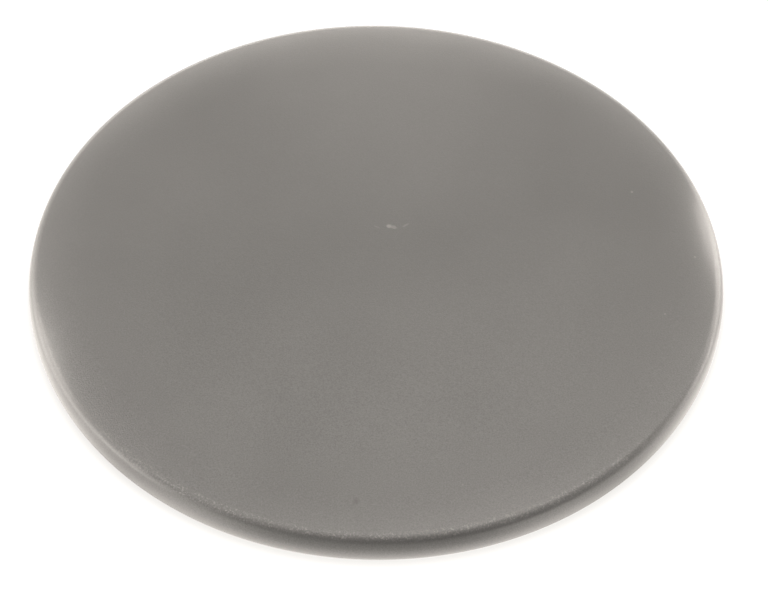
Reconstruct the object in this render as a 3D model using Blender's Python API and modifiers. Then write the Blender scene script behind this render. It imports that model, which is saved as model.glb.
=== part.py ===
"""Cap-type round access cover: a plain moulded composite lid with a ribbed
underframe, a rim seal and four spring catches under it.

Lid rests on its rim at z = 0, crown of the lid faces +Z, the four catches lie
on +X, +Y, -X and -Y.  Units: metres.
"""
import bpy
import bmesh
from math import pi, sin, cos, sqrt, radians, asin, atan2
from mathutils import Vector, Matrix

MM = 0.001

# ---------------------------------------------------------------- dimensions
# lid moulding
LID_R = 325.0            # outer radius at the widest point of the rim
LID_TOP_Z = 36.5         # crown height
LID_CROWN = 0.8          # rise of the crown from the roll-off to the centre
ROLL_START_R = 252.0     # where the flat top starts to roll down
ROLL_DROP = 4.4          # fall of the roll-off
ROLL_TILT = 10.0         # slope where the roll-off meets the corner, degrees
CORNER_R = 10.0          # radius of the corner
CORNER_TILT = 70.0       # slope where the corner meets the bulged wall
WALL_TILT = 118.0        # slope where the wall meets the foot, past upright
FOOT_R = 4.5             # radius of the foot
FOOT_IN_R = 312.6        # inner radius of the rim at the foot
SKIN_UNDER_Z = 28.5      # underside of the skin
INNER_ROUND = 2.0        # round between the skin and the rim, inside
LID_STEPS = 80

# rib frame (underframe)
RIB_R = 296.0            # outer radius
RIB_PITCH = 66.0         # square rib grid
RIB_T = 6.0              # rib thickness
RIB_FOOT_Z = 17.5
RIB_HEAD_Z = 28.2
RIB_RING_R = 288.5       # inner radius of the edge ring
BAY_CHAMFER = 9.0        # corner of a bay
NOTCH_HALF = 30.5        # catch notch, half width
NOTCH_FLOOR_R = 235.0    # catch notch, floor

# rim seal
SEAL_IN_R, SEAL_OUT_R = 300.4, 310.0
SEAL_FOOT_Z, SEAL_HEAD_Z = 20.2, 28.2
SEAL_ROUND = 2.2
SEAL_STEPS = 64

# frame screws
FRAME_SCREWS = [(99, 99), (-99, 99), (-99, -99), (99, -99),
                (231, 99), (99, 231), (-99, 231), (-231, 99),
                (-231, -99), (-99, -231), (99, -231), (231, -99)]
FS_HEAD_R, FS_HEAD_H = 6.5, 3.4
FS_SHANK_R = 2.9
FS_TIP_Z = 32.8
FS_HOLE_R = 3.3

# catch, in its own frame: x outward along the bolt, z up
BODY_IN, BODY_OUT = 236.0, 297.0
BODY_HALF = 16.0
BODY_FOOT_Z = 4.5
EAR_IN, EAR_OUT, EAR_HALF = 252.0, 282.0, 29.7
EAR_FOOT_Z = 22.2
CHANNEL_IN, CHANNEL_SHOULDER = 242.0, 290.0
CHANNEL_HALF, MOUTH_HALF = 10.3, 8.3
CHANNEL_ROOF_Z = 14.0
EAR_SCREW_X, EAR_SCREW_Y = 267.0, 23.0
EAR_HOLE_R = 2.8
BOLT_TAIL, BOLT_SHOULDER, BOLT_TIP = 262.0, 289.6, 308.0
BOLT_HALF, NOSE_HALF = 9.9, 7.9
BOLT_FOOT_Z, BOLT_HEAD_Z = 4.75, 13.6
BOLT_AXIS_Z = 9.2
PIN_R, PIN_LEN = 2.3, 9.0
NOSE_LEAD, NOSE_BACK = 4.6, 2.8     # chamfers under and over the nose
SPRING_R, SPRING_WIRE, SPRING_TURNS = 3.4, 0.5, 6
SPRING_IN, SPRING_OUT = 242.9, 261.1
PLATE_IN, PLATE_OUT, PLATE_HALF = 237.0, 296.0, 15.6
PLATE_FOOT_Z, PLATE_HEAD_Z = 2.6, 4.2
PLATE_SCREWS = [(266.0, 13.1), (266.0, -13.1)]
PS_HEAD_R, PS_HEAD_H, PS_SHANK_R = 2.5, 1.3, 1.2
PS_TIP_Z, PS_HOLE_R = 11.0, 1.5

CATCHES = [("east", 0.0), ("north", 90.0), ("west", 180.0), ("south", 270.0)]

# -------------------------------------------------------------------- scene
for ob in list(bpy.data.objects):
    bpy.data.objects.remove(ob, do_unlink=True)

PARTS = bpy.data.collections.new("manhole_cover")
CUTTERS = bpy.data.collections.new("cutters")
bpy.context.scene.collection.children.link(PARTS)
bpy.context.scene.collection.children.link(CUTTERS)


def material(name, rgb, rough, metal=0.0):
    m = bpy.data.materials.new(name)
    m.use_nodes = True
    b = m.node_tree.nodes["Principled BSDF"]
    b.inputs["Base Color"].default_value = (*rgb, 1.0)
    b.inputs["Roughness"].default_value = rough
    b.inputs["Metallic"].default_value = metal
    return m


LID_GREY = material("lid_composite", (0.092, 0.090, 0.087), 0.40)
FRAME_GREY = material("frame_composite", (0.050, 0.049, 0.048), 0.60)
SEAL_BLACK = material("seal_rubber", (0.012, 0.012, 0.012), 0.75)
BODY_BLACK = material("catch_body_nylon", (0.022, 0.022, 0.023), 0.48)
BOLT_WHITE = material("catch_bolt_acetal", (0.62, 0.60, 0.55), 0.38)
STEEL = material("screw_steel", (0.56, 0.55, 0.53), 0.30, 1.0)
PLATE_STEEL = material("plate_steel", (0.60, 0.59, 0.57), 0.34, 1.0)
SPRING_STEEL = material("spring_steel", (0.50, 0.50, 0.50), 0.26, 1.0)


# ------------------------------------------------------------------ helpers
def adopt(ob, coll):
    coll.objects.link(ob)
    if coll is CUTTERS:
        ob.hide_render = True
        ob.display_type = "WIRE"


def baked(ob, smooth_deg=None):
    """Replace an object by its evaluated mesh, welded."""
    bpy.context.view_layer.update()
    dg = bpy.context.evaluated_depsgraph_get()
    me = bpy.data.meshes.new_from_object(ob.evaluated_get(dg))
    me.name = ob.name
    bm = bmesh.new()
    bm.from_mesh(me)
    bmesh.ops.remove_doubles(bm, verts=bm.verts, dist=0.00002)
    bm.to_mesh(me)
    bm.free()
    new = bpy.data.objects.new(ob.name + ".baked", me)
    new.matrix_world = ob.matrix_world.copy()
    name, mats = ob.name, list(ob.data.materials)
    coll = ob.users_collection[0]
    bpy.data.objects.remove(ob, do_unlink=True)
    new.name = name
    coll.objects.link(new)
    me.materials.clear()
    for m in mats:
        me.materials.append(m)
    if smooth_deg is not None:
        me.shade_smooth()
        me.set_sharp_from_angle(angle=radians(smooth_deg))
    return new


def turned(name, profile, steps, coll=PARTS, mat=None):
    """Solid of revolution about Z from a profile listed top to bottom."""
    me = bpy.data.meshes.new(name)
    me.from_pydata([(r * MM, 0.0, z * MM) for r, z in profile],
                   [(i, i + 1) for i in range(len(profile) - 1)], [])
    ob = bpy.data.objects.new(name, me)
    coll.objects.link(ob)
    s = ob.modifiers.new("turn", "SCREW")
    s.axis = "Z"
    s.angle = 2 * pi
    s.steps = s.render_steps = steps
    s.use_merge_vertices = True
    s.merge_threshold = 0.00005
    if mat:
        me.materials.append(mat)
    return ob


def ring(name, loop, steps, mat):
    """Ring of revolution: the loop closes on itself."""
    me = bpy.data.meshes.new(name)
    n = len(loop)
    me.from_pydata([(r * MM, 0.0, z * MM) for r, z in loop],
                   [(i, (i + 1) % n) for i in range(n)], [])
    ob = bpy.data.objects.new(name, me)
    PARTS.objects.link(ob)
    s = ob.modifiers.new("turn", "SCREW")
    s.axis = "Z"
    s.angle = 2 * pi
    s.steps = s.render_steps = steps
    s.use_merge_vertices = True
    s.merge_threshold = 0.00005
    me.materials.append(mat)
    return ob


def box(name, lo, hi, coll=PARTS, mat=None):
    me = bpy.data.meshes.new(name)
    bm = bmesh.new()
    c = [(a + b) / 2 * MM for a, b in zip(lo, hi)]
    d = [(b - a) * MM for a, b in zip(lo, hi)]
    bmesh.ops.create_cube(bm, size=1.0, matrix=Matrix.Translation(c) @ Matrix.Diagonal((*d, 1.0)))
    bm.to_mesh(me)
    bm.free()
    ob = bpy.data.objects.new(name, me)
    adopt(ob, coll)
    if mat:
        me.materials.append(mat)
    return ob


def rods(name, places, z0, z1, radius, segs, coll=CUTTERS):
    """Upright round rods at several places, in one mesh."""
    me = bpy.data.meshes.new(name)
    bm = bmesh.new()
    for x, y in places:
        bmesh.ops.create_cone(bm, cap_ends=True, segments=segs, radius1=radius * MM,
                              radius2=radius * MM, depth=(z1 - z0) * MM,
                              matrix=Matrix.Translation((x * MM, y * MM, (z0 + z1) / 2 * MM)))
    bm.to_mesh(me)
    bm.free()
    ob = bpy.data.objects.new(name, me)
    adopt(ob, coll)
    return ob


def boolean(ob, other, op):
    b = ob.modifiers.new(op.lower(), "BOOLEAN")
    b.operation = op
    b.solver = "EXACT"
    b.object = other
    return b


def flat(name, loops, z0, z1, mat, coll=PARTS):
    """Flat outline with holes, extruded from z0 to z1."""
    cu = bpy.data.curves.new(name, "CURVE")
    cu.dimensions = "2D"
    cu.fill_mode = "BOTH"
    cu.extrude = (z1 - z0) / 2 * MM
    for loop in loops:
        sp = cu.splines.new("POLY")
        sp.points.add(len(loop) - 1)
        for p, (x, y) in zip(sp.points, loop):
            p.co = (x * MM, y * MM, 0.0, 1.0)
        sp.use_cyclic_u = True
    cu.materials.append(mat)
    ob = bpy.data.objects.new(name, cu)
    ob.location = (0, 0, (z0 + z1) / 2 * MM)
    coll.objects.link(ob)
    return ob


def circle(cx, cy, r, n, phase=0.0):
    return [(cx + r * cos(2 * pi * (k + phase) / n), cy + r * sin(2 * pi * (k + phase) / n)) for k in range(n)]


# -------------------------------------------------------------- lid moulding
def arc(pts, radius, tilt0, tilt1, n):
    """Carry a profile on by an arc, from one slope to another."""
    r, z = pts[-1]
    a0 = radians(tilt0)
    for k in range(1, n + 1):
        a = radians(tilt0 + (tilt1 - tilt0) * k / n)
        pts.append((r + radius * (sin(a) - sin(a0)), z - radius * (cos(a0) - cos(a))))


def lid_profile():
    z_roll = LID_TOP_Z - LID_CROWN
    c = [cos(radians(t)) for t in (ROLL_TILT, CORNER_TILT, WALL_TILT)]
    s = [sin(radians(t)) for t in (ROLL_TILT, CORNER_TILT, WALL_TILT)]
    # the wall's radius takes up the height that the corner and the foot leave
    wall_r = (z_roll - ROLL_DROP - CORNER_R * (c[0] - c[1]) - FOOT_R * (c[2] + 1)) / (c[1] - c[2])
    roll_end = LID_R - CORNER_R * (s[1] - s[0]) - wall_r * (1 - s[1])
    pts = [(0.0, LID_TOP_Z), (150.0, LID_TOP_Z - LID_CROWN * (150.0 / ROLL_START_R) ** 2),
           (ROLL_START_R, z_roll)]
    for k in range(1, 7):
        t = k / 6
        pts.append((ROLL_START_R + (roll_end - ROLL_START_R) * t, z_roll - ROLL_DROP * t ** 2.6))
    arc(pts, CORNER_R, ROLL_TILT, CORNER_TILT, 4)
    arc(pts, wall_r, CORNER_TILT, WALL_TILT, 6)
    arc(pts, FOOT_R, WALL_TILT, 180.0, 4)
    pts[-1] = (pts[-1][0], 0.0)
    head_in = FOOT_IN_R - 0.8
    pts += [(FOOT_IN_R + 1.2, 0.0), (FOOT_IN_R, 1.2), (head_in, SKIN_UNDER_Z - INNER_ROUND),
            (head_in - 0.3 * INNER_ROUND, SKIN_UNDER_Z - 0.3 * INNER_ROUND),
            (head_in - INNER_ROUND, SKIN_UNDER_Z), (0.0, SKIN_UNDER_Z)]
    return pts


lid = turned("cover_lid", lid_profile(), LID_STEPS, mat=LID_GREY)
ear_places = []
for _, deg in CATCHES:
    a = radians(deg)
    for s in (1, -1):
        x, y = EAR_SCREW_X, EAR_SCREW_Y * s
        ear_places.append((x * cos(a) - y * sin(a), x * sin(a) + y * cos(a)))
pilot_holes = rods("cut_frame_screw_pilots", FRAME_SCREWS, SKIN_UNDER_Z - 2, FS_TIP_Z + 0.4, FS_HOLE_R, 10)
ear_pilots = rods("cut_ear_screw_pilots", ear_places, SKIN_UNDER_Z - 2, FS_TIP_Z + 0.4, EAR_HOLE_R, 10)
boolean(lid, pilot_holes, "DIFFERENCE")
boolean(lid, ear_pilots, "DIFFERENCE")
lid = baked(lid, 30)


# ------------------------------------------------------------------ rib frame
def clip_to_circle(poly, r, n=72):
    """Clip a convex polygon to a circle, taken as n chords."""
    for k in range(n):
        a = 2 * pi * (k + 0.5) / n
        nx, ny, d = cos(a), sin(a), r * cos(pi / n)
        out = []
        for i, p in enumerate(poly):
            q = poly[(i + 1) % len(poly)]
            sp, sq = p[0] * nx + p[1] * ny - d, q[0] * nx + q[1] * ny - d
            if sp <= 0:
                out.append(p)
            if sp * sq < 0:
                t = sp / (sp - sq)
                out.append((p[0] + (q[0] - p[0]) * t, p[1] + (q[1] - p[1]) * t))
        poly = out
        if len(poly) < 3:
            return []
    return poly


def area(poly):
    return 0.5 * sum(p[0] * q[1] - q[0] * p[1] for p, q in zip(poly, poly[1:] + poly[:1]))


def chamfered(poly, c):
    """Cut every real corner of a polygon back by c along both sides."""
    out = []
    n = len(poly)
    for i, p in enumerate(poly):
        a, b = Vector(poly[i - 1]), Vector(poly[(i + 1) % n])
        p = Vector(p)
        u, v = a - p, b - p
        turn = u.angle(v)
        if turn > radians(150):
            out.append(tuple(p))
            continue
        cu, cv = min(c, 0.45 * u.length), min(c, 0.45 * v.length)
        out.append(tuple(p + u.normalized() * cu))
        out.append(tuple(p + v.normalized() * cv))
    return out


def tidy(poly, step):
    """Drop points that lie closer than a step to the one before."""
    out = []
    for p in poly:
        if not out or (Vector(p) - Vector(out[-1])).length > step:
            out.append(p)
    if (Vector(out[0]) - Vector(out[-1])).length <= step:
        out.pop()
    return out


def rib_loops():
    outline = []
    half = asin(NOTCH_HALF / RIB_R)
    lip = sqrt(RIB_R ** 2 - NOTCH_HALF ** 2)
    for q in range(4):
        c, s = cos(q * pi / 2), sin(q * pi / 2)
        for x, y in [(lip, -NOTCH_HALF), (NOTCH_FLOOR_R, -NOTCH_HALF), (NOTCH_FLOOR_R, NOTCH_HALF), (lip, NOTCH_HALF)]:
            outline.append((x * c - y * s, x * s + y * c))
        for k in range(1, 18):
            a = half + (pi / 2 - 2 * half) * k / 18 + q * pi / 2
            outline.append((RIB_R * cos(a), RIB_R * sin(a)))
    loops = [outline]
    h = (RIB_PITCH - RIB_T) / 2
    for i in range(-4, 5):
        for j in range(-4, 5):
            if (abs(i), abs(j)) in ((4, 0), (0, 4)):
                continue
            x, y = i * RIB_PITCH, j * RIB_PITCH
            bay = clip_to_circle([(x - h, y - h), (x + h, y - h), (x + h, y + h), (x - h, y + h)], RIB_RING_R)
            bay = tidy(bay, 2.0) if bay else []
            if len(bay) < 3 or area(bay) < 500:
                continue
            loops.append(chamfered(bay, BAY_CHAMFER))
    for x, y in FRAME_SCREWS:
        loops.append(circle(x, y, FS_HOLE_R, 10))
    return loops


rib_frame = flat("rib_frame", rib_loops(), RIB_FOOT_Z, RIB_HEAD_Z, FRAME_GREY)
rib_frame = baked(rib_frame)

# ------------------------------------------------------------------- rim seal
r = SEAL_ROUND
seal = ring("rim_seal", [(SEAL_IN_R + 0.8, SEAL_HEAD_Z), (SEAL_OUT_R - 0.8, SEAL_HEAD_Z),
                         (SEAL_OUT_R, SEAL_HEAD_Z - 0.8), (SEAL_OUT_R, SEAL_FOOT_Z + r),
                         (SEAL_OUT_R - 0.3 * r, SEAL_FOOT_Z + 0.3 * r), (SEAL_OUT_R - r, SEAL_FOOT_Z),
                         (SEAL_IN_R + r, SEAL_FOOT_Z), (SEAL_IN_R + 0.3 * r, SEAL_FOOT_Z + 0.3 * r),
                         (SEAL_IN_R, SEAL_FOOT_Z + r), (SEAL_IN_R, SEAL_HEAD_Z - 0.8)],
            SEAL_STEPS, SEAL_BLACK)
seal = baked(seal, 30)


# --------------------------------------------------------------- frame screws
def screw_profile(tip_z, shank_r, seat_z, head_r, head_h):
    """Pan-head screw pointing up: tip first, head last."""
    return [(0.0, tip_z), (shank_r * 0.75, tip_z), (shank_r, tip_z - shank_r * 0.5), (shank_r, seat_z),
            (head_r, seat_z), (head_r, seat_z - head_h * 0.55), (head_r * 0.72, seat_z - head_h),
            (0.0, seat_z - head_h)]


first = baked(turned("frame_screw_01", screw_profile(FS_TIP_Z, FS_SHANK_R, RIB_FOOT_Z - 0.3, FS_HEAD_R, FS_HEAD_H),
                     12, mat=STEEL), 35)
for k, (x, y) in enumerate(FRAME_SCREWS):
    ob = first if k == 0 else bpy.data.objects.new("frame_screw_%02d" % (k + 1), first.data)
    if k:
        PARTS.objects.link(ob)
    ob.location = (x * MM, y * MM, 0)

# -------------------------------------------------------------- catch masters
body = box("catch_body_east", (BODY_IN, -BODY_HALF, BODY_FOOT_Z), (BODY_OUT, BODY_HALF, RIB_HEAD_Z), mat=BODY_BLACK)
ears = box("add_catch_ears", (EAR_IN, -EAR_HALF, EAR_FOOT_Z), (EAR_OUT, EAR_HALF, RIB_HEAD_Z), CUTTERS)
channel = box("cut_catch_channel", (CHANNEL_IN, -CHANNEL_HALF, BODY_FOOT_Z - 5),
              (CHANNEL_SHOULDER, CHANNEL_HALF, CHANNEL_ROOF_Z), CUTTERS)
mouth = box("cut_catch_mouth", (CHANNEL_SHOULDER - 5, -MOUTH_HALF, BODY_FOOT_Z - 5),
            (BODY_OUT + 5, MOUTH_HALF, CHANNEL_ROOF_Z), CUTTERS)
ear_holes = rods("cut_ear_holes", [(EAR_SCREW_X, EAR_SCREW_Y), (EAR_SCREW_X, -EAR_SCREW_Y)],
                 EAR_FOOT_Z - 3, RIB_HEAD_Z + 3, EAR_HOLE_R, 10)
plate_pilots = rods("cut_plate_pilots", PLATE_SCREWS, BODY_FOOT_Z - 3, PS_TIP_Z + 0.6, PS_HOLE_R, 8)
boolean(body, ears, "UNION")
for cutter in (channel, mouth, ear_holes, plate_pilots):
    boolean(body, cutter, "DIFFERENCE")
body = baked(body)

# bolt, with its origin on the axis that it slides along
bolt = box("catch_bolt_east", (BOLT_TAIL, -BOLT_HALF, BOLT_FOOT_Z), (BOLT_SHOULDER, BOLT_HALF, BOLT_HEAD_Z), mat=BOLT_WHITE)
nose = box("add_bolt_nose", (BOLT_SHOULDER - 4, -NOSE_HALF, BOLT_FOOT_Z), (BOLT_TIP, NOSE_HALF, BOLT_HEAD_Z), CUTTERS)
bm = bmesh.new()
bm.from_mesh(nose.data)
for z, cut in ((BOLT_FOOT_Z, NOSE_LEAD), (BOLT_HEAD_Z, NOSE_BACK)):
    edge = [e for e in bm.edges if all(abs(v.co.x - BOLT_TIP * MM) < 1e-6 and abs(v.co.z - z * MM) < 1e-6
                                       for v in e.verts)]
    bmesh.ops.bevel(bm, geom=edge, offset=cut * MM, segments=1, affect="EDGES")
bm.to_mesh(nose.data)
bm.free()
pin_me = bpy.data.meshes.new("add_bolt_pin")
bm = bmesh.new()
bmesh.ops.create_cone(bm, cap_ends=True, segments=10, radius1=PIN_R * MM, radius2=PIN_R * MM, depth=(PIN_LEN + 4) * MM,
                      matrix=Matrix.Translation(((BOLT_TAIL - PIN_LEN / 2 + 2) * MM, 0, BOLT_AXIS_Z * MM))
                      @ Matrix.Rotation(pi / 2, 4, "Y"))
bm.to_mesh(pin_me)
bm.free()
pin = bpy.data.objects.new("add_bolt_pin", pin_me)
adopt(pin, CUTTERS)
boolean(bolt, nose, "UNION")
boolean(bolt, pin, "UNION")
bolt = baked(bolt)
bolt.data.transform(Matrix.Translation((-BOLT_SHOULDER * MM, 0, -BOLT_AXIS_Z * MM)))

# return spring round the bolt's tail pin
cu = bpy.data.curves.new("catch_spring_east", "CURVE")
cu.dimensions = "3D"
cu.bevel_depth = SPRING_WIRE * MM
cu.bevel_resolution = 1
cu.use_fill_caps = True
n = SPRING_TURNS * 10
sp = cu.splines.new("POLY")
sp.points.add(n)
for k in range(n + 1):
    a = 2 * pi * k / 10
    sp.points[k].co = ((SPRING_IN + (SPRING_OUT - SPRING_IN) * k / n) * MM, SPRING_R * MM * cos(a),
                       SPRING_R * MM * sin(a), 1.0)
cu.materials.append(SPRING_STEEL)
spring = bpy.data.objects.new("catch_spring_east", cu)
spring.location = (0, 0, BOLT_AXIS_Z * MM)
PARTS.objects.link(spring)
spring = baked(spring, 40)
spring.data.transform(Matrix.Translation((0, 0, BOLT_AXIS_Z * MM)))
spring.location = (0, 0, 0)

# cover plate
c = 3.0
rect = chamfered([(PLATE_IN, -PLATE_HALF), (PLATE_OUT, -PLATE_HALF), (PLATE_OUT, PLATE_HALF), (PLATE_IN, PLATE_HALF)], c)
plate = flat("catch_plate_east", [rect] + [circle(x, y, PS_HOLE_R, 8) for x, y in PLATE_SCREWS],
             PLATE_FOOT_Z, PLATE_HEAD_Z, PLATE_STEEL)
plate = baked(plate)
plate.data.transform(Matrix.Translation((0, 0, (PLATE_FOOT_Z + PLATE_HEAD_Z) / 2 * MM)))
plate.location = (0, 0, 0)

ear_screw = baked(turned("ear_screw_east_1", screw_profile(FS_TIP_Z, 2.4, EAR_FOOT_Z - 0.3, 4.6, 3.0), 12, mat=STEEL), 35)
plate_screw = baked(turned("plate_screw_east_1", screw_profile(PS_TIP_Z, PS_SHANK_R, PLATE_FOOT_Z - 0.2, PS_HEAD_R, PS_HEAD_H),
                           10, mat=STEEL), 35)


# -------------------------------------------------------------- four catches
def place(master, name, parent, loc=(0, 0, 0)):
    ob = master if master.name == name else bpy.data.objects.new(name, master.data)
    if not ob.users_collection:
        PARTS.objects.link(ob)
    ob.parent = parent
    ob.location = [v * MM for v in loc]
    return ob


for side, deg in CATCHES:
    hub = bpy.data.objects.new("catch_seat_" + side, None)
    hub.empty_display_size = 0.03
    hub.rotation_euler = (0, 0, radians(deg))
    PARTS.objects.link(hub)
    place(body, "catch_body_" + side, hub)
    place(bolt, "catch_bolt_" + side, hub, (BOLT_SHOULDER, 0, BOLT_AXIS_Z))
    place(spring, "catch_spring_" + side, hub)
    place(plate, "catch_plate_" + side, hub)
    for k, s in enumerate((1, -1)):
        place(ear_screw, "ear_screw_%s_%d" % (side, k + 1), hub, (EAR_SCREW_X, EAR_SCREW_Y * s, 0))
    for k, (x, y) in enumerate(PLATE_SCREWS):
        place(plate_screw, "plate_screw_%s_%d" % (side, k + 1), hub, (x, y, 0))
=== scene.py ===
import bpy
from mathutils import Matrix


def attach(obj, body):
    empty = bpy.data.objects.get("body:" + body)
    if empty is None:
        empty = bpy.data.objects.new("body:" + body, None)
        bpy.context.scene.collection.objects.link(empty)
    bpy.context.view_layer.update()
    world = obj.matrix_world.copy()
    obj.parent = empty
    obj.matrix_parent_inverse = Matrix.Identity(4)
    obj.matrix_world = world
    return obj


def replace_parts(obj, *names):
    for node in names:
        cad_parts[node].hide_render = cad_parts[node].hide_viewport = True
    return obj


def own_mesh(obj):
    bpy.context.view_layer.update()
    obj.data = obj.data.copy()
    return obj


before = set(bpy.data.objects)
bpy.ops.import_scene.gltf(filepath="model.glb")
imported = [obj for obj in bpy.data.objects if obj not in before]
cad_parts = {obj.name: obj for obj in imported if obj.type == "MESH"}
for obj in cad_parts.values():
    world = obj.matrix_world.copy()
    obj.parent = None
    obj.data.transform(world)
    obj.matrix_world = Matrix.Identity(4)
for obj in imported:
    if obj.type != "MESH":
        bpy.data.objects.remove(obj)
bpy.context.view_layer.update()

from math import pi, sin, cos, tan, sqrt, radians, degrees, asin, atan2

import bmesh
import bpy
from mathutils import Matrix, Vector

MM = 0.001
scene = bpy.context.scene

# ------------------------------------------------------------- dimensions, mm
LID_R = 325.0
LID_TOP_Z = 36.5
LID_CROWN = 0.8
ROLL_START_R = 252.0
ROLL_DROP = 4.4
ROLL_TILT, CORNER_TILT, WALL_TILT = 10.0, 70.0, 118.0
CORNER_R, FOOT_R = 10.0, 4.5
FOOT_IN_R = 312.6
SKIN_UNDER_Z = 28.5
INNER_ROUND = 2.0

RIB_R, RIB_RING_R = 296.0, 288.5
RIB_PITCH, RIB_T = 66.0, 6.0
RIB_FOOT_Z, RIB_HEAD_Z = 17.5, 28.2
NOTCH_HALF, NOTCH_FLOOR_R = 30.5, 235.0
FRAME_SCREWS = [(99, 99), (-99, 99), (-99, -99), (99, -99),
                (231, 99), (99, 231), (-99, 231), (-231, 99),
                (-231, -99), (-99, -231), (99, -231), (231, -99)]

BODY_IN, BODY_OUT, BODY_HALF, BODY_FOOT_Z = 236.0, 297.0, 16.0, 4.5
EAR_IN, EAR_OUT, EAR_HALF, EAR_FOOT_Z = 252.0, 282.0, 29.7, 22.2
EAR_SCREW = (267.0, 23.0)
PLATE_IN, PLATE_OUT, PLATE_HALF, PLATE_FOOT_Z, PLATE_HEAD_Z = 237.0, 296.0, 15.6, 2.6, 4.2
PLATE_SCREW = (266.0, 13.1)
BOLT_AXIS_Z = 9.2
SPRING_IN, SPRING_OUT, SPRING_R, SPRING_WIRE = 242.9, 261.1, 3.4, 0.5
CATCHES = [("east", 0.0, (1, 0, 0)), ("north", 90.0, (0, 1, 0)), ("west", 180.0, (-1, 0, 0)), ("south", 270.0, (0, -1, 0))]


# ------------------------------------------------------------------ node help
class Tree:
    """A material's node tree with short ways to add nodes."""

    def __init__(self, name):
        self.mat = bpy.data.materials.new(name)
        self.mat.use_nodes = True
        self.t = self.mat.node_tree
        self.t.nodes.clear()
        self.out = self.t.nodes.new("ShaderNodeOutputMaterial")
        self.bsdf = self.t.nodes.new("ShaderNodeBsdfPrincipled")
        self.t.links.new(self.bsdf.outputs[0], self.out.inputs["Surface"])
        self.coord = self.t.nodes.new("ShaderNodeTexCoord").outputs["Object"]

    def put(self, sock, v):
        if isinstance(v, bpy.types.NodeSocket):
            self.t.links.new(v, sock)
        else:
            sock.default_value = v

    def node(self, kind, **props):
        n = self.t.nodes.new(kind)
        for k, v in props.items():
            setattr(n, k, v)
        return n

    def math(self, op, a, b=0.0, c=None, clamp=False):
        n = self.node("ShaderNodeMath", operation=op, use_clamp=clamp)
        self.put(n.inputs[0], a)
        self.put(n.inputs[1], b)
        if c is not None:
            self.put(n.inputs[2], c)
        return n.outputs[0]

    def vmath(self, op, a, b=(0, 0, 0)):
        n = self.node("ShaderNodeVectorMath", operation=op)
        self.put(n.inputs[0], a)
        self.put(n.inputs[1], b)
        return n.outputs["Value"] if op in ("LENGTH", "DOT_PRODUCT", "DISTANCE") else n.outputs[0]

    def scaled(self, sx, sy, sz):
        """Coordinates stretched by a factor along each axis."""
        return self.vmath("MULTIPLY", self.coord, (sx, sy, sz))

    def noise(self, scale, detail=2.0, rough=0.5, vec=None, distort=0.0):
        n = self.node("ShaderNodeTexNoise")
        self.put(n.inputs["Vector"], self.coord if vec is None else vec)
        n.inputs["Scale"].default_value = scale
        n.inputs["Detail"].default_value = detail
        n.inputs["Roughness"].default_value = rough
        n.inputs["Distortion"].default_value = distort
        return n.outputs[0]

    def voronoi(self, scale, feature="F1", vec=None, random=1.0):
        n = self.node("ShaderNodeTexVoronoi", feature=feature)
        self.put(n.inputs["Vector"], self.coord if vec is None else vec)
        n.inputs["Scale"].default_value = scale
        n.inputs["Randomness"].default_value = random
        return n.outputs[0]

    def ramp(self, v, lo, hi, a=0.0, b=1.0, smooth=True):
        n = self.node("ShaderNodeMapRange", interpolation_type="SMOOTHSTEP" if smooth else "LINEAR", clamp=True)
        self.put(n.inputs["Value"], v)
        for key, val in (("From Min", lo), ("From Max", hi), ("To Min", a), ("To Max", b)):
            self.put(n.inputs[key], val)
        return n.outputs[0]

    def mix(self, f, a, b):
        n = self.node("ShaderNodeMix", data_type="RGBA")
        self.put(n.inputs["Factor"], f)
        self.put(n.inputs["A"], a)
        self.put(n.inputs["B"], b)
        return n.outputs["Result"]

    def xyz(self, vec=None):
        n = self.node("ShaderNodeSeparateXYZ")
        self.put(n.inputs[0], self.coord if vec is None else vec)
        return n.outputs

    def bump(self, height, strength, distance, normal=None):
        n = self.node("ShaderNodeBump")
        self.put(n.inputs["Height"], height)
        self.put(n.inputs["Strength"], strength)
        self.put(n.inputs["Distance"], distance)
        if normal is not None:
            self.put(n.inputs["Normal"], normal)
        return n.outputs[0]

    def finish(self, color, rough, normal=None, metal=0.0, spec=0.5):
        b = self.bsdf.inputs
        self.put(b["Base Color"], color)
        self.put(b["Roughness"], rough)
        b["Metallic"].default_value = metal
        b["Specular IOR Level"].default_value = spec
        if normal is not None:
            self.put(b["Normal"], normal)
        return self.mat


def rgb(r, g, b):
    return (r, g, b, 1.0)


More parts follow.
